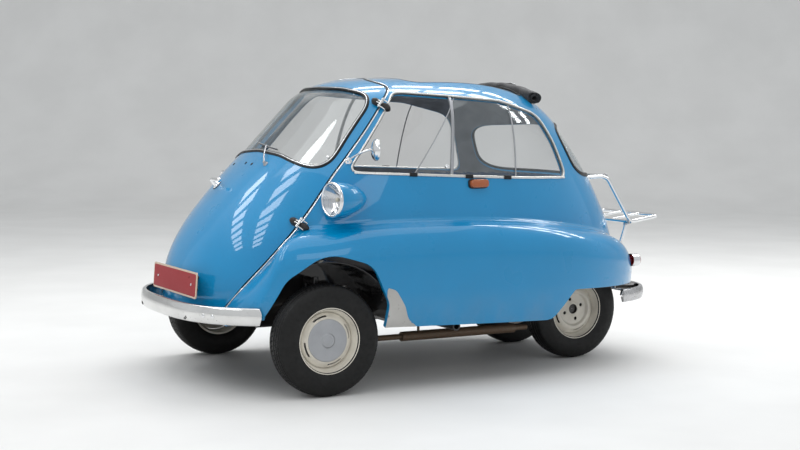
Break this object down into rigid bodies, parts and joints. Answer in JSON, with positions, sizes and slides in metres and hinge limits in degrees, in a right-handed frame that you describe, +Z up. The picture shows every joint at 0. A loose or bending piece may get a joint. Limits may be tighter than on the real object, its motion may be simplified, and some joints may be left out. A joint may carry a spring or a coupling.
{
  "type": "bubble car",
  "caption": "Two-seat bubble car with a front-opening door, side window panes, a rolled canvas roof, a narrow rear axle and a luggage rack.",
  "frame": {"origin": "on the ground under the middle of the wheelbase, on the car's centre plane", "axes": "+X to the car's left, +Y to its rear, +Z up"},
  "size_m": [1.379, 2.5238, 1.3398],
  "materials": {
    "body_paint": "gloss",
    "wheel_paint": "satin",
    "bare_steel": "satin",
    "frame_paint": "satin",
    "chrome_plate": "polished",
    "grey_metal": "satin",
    "tyre_rubber": "matte",
    "black_rubber": "satin",
    "window_glass": "polished",
    "lamp_glass": "polished",
    "amber_lens": "gloss",
    "red_lens": "gloss",
    "canvas": "matte",
    "seat_cloth": "matte",
    "rusty_pipe": "matte",
    "plate_paint": "satin",
    "cream_plastic": "gloss",
    "engine_metal": "satin"
  },
  "bodies": {
    "chassis": {"cabin_shell": "body_paint", "left_side_panel": "body_paint", "right_side_panel": "body_paint", "tail_panel": "body_paint", "wheel_housings": "frame_paint", "floor_pan": "frame_paint", "rear_bulkhead": "frame_paint", "chassis_frame": "frame_paint", "engine_block": "engine_metal", "lid_hinge_pin": "bare_steel", "kingpin_posts": "frame_paint", "axle_case": "bare_steel", "leaf_springs": "frame_paint", "exhaust_pipe": "rusty_pipe", "front_bumper": "chrome_plate", "rear_bumper": "chrome_plate", "luggage_rack": "chrome_plate", "headlamp_pods": "body_paint", "headlamp_lenses": "lamp_glass", "side_indicators": "amber_lens", "tail_lamps": "red_lens", "wing_mirror": "chrome_plate", "left_side_windows": "window_glass", "right_side_windows": "window_glass", "rear_window": "window_glass", "canvas_roof": "canvas", "body_hinges": "black_rubber", "stone_guards": "grey_metal", "bench_cushion": "seat_cloth", "bench_back": "seat_cloth", "bench_base": "frame_paint", "gear_lever": "chrome_plate", "pedals": "black_rubber"},
    "door": {"front_door": "body_paint", "windscreen": "window_glass", "door_handle": "chrome_plate", "wiper": "frame_paint", "door_hinge_arms": "black_rubber", "number_plate": "plate_paint", "steering_column": "frame_paint"},
    "steering": {"steering_wheel": "cream_plastic"},
    "lid": {"engine_lid": "body_paint"},
    "left_hub": {"left_knuckle": "bare_steel"},
    "left_wheel": {"left_front_rim": "wheel_paint", "left_front_tyre": "tyre_rubber", "left_hub_cap": "grey_metal"},
    "right_hub": {"right_knuckle": "bare_steel"},
    "right_wheel": {"right_front_rim": "wheel_paint", "right_front_tyre": "tyre_rubber", "right_hub_cap": "grey_metal"},
    "rear_wheels": {"rear_axle": "bare_steel", "rear_rims": "wheel_paint", "left_rear_tyre": "tyre_rubber", "right_rear_tyre": "tyre_rubber"}
  },
  "joints": [
    {"name": "door_hinge", "type": "hinge", "parent": "chassis", "child": "door", "pos_m": [0.505, -0.823, 0.722], "axis": [-0.0942, 0.6364, 0.7656], "range_deg": [0, 80]},
    {"name": "steering_wheel_turn", "type": "hinge", "parent": "door", "child": "steering", "pos_m": [0.17, -0.59, 0.735], "axis": [0, 0.66, 0.7513], "range_deg": [-300, 300]},
    {"name": "lid_hinge", "type": "hinge", "parent": "chassis", "child": "lid", "pos_m": [-0.6545, 0.35, 0.635], "axis": [0.1599, 0.9832, -0.0879], "range_deg": [0, 70]},
    {"name": "left_steer", "type": "hinge", "parent": "chassis", "child": "left_hub", "pos_m": [0.51, -0.75, 0.236], "axis": [0, 0, 1], "range_deg": [-20, 20]},
    {"name": "right_steer", "type": "hinge", "parent": "chassis", "child": "right_hub", "pos_m": [-0.51, -0.75, 0.236], "axis": [0, 0, 1], "range_deg": [-20, 20]},
    {"name": "left_front_spin", "type": "hinge", "parent": "left_hub", "child": "left_wheel", "pos_m": [0.6, -0.75, 0.236], "axis": [1, 0, 0], "continuous": true},
    {"name": "right_front_spin", "type": "hinge", "parent": "right_hub", "child": "right_wheel", "pos_m": [-0.6, -0.75, 0.236], "axis": [1, 0, 0], "continuous": true},
    {"name": "rear_spin", "type": "hinge", "parent": "chassis", "child": "rear_wheels", "pos_m": [0, 0.75, 0.236], "axis": [1, 0, 0], "continuous": true}
  ],
  "couplings": [
    {"joint": "right_steer", "follows": "left_steer", "ratio": 1},
    {"joint": "steering_wheel_turn", "follows": "left_steer", "ratio": 15}
  ]
}
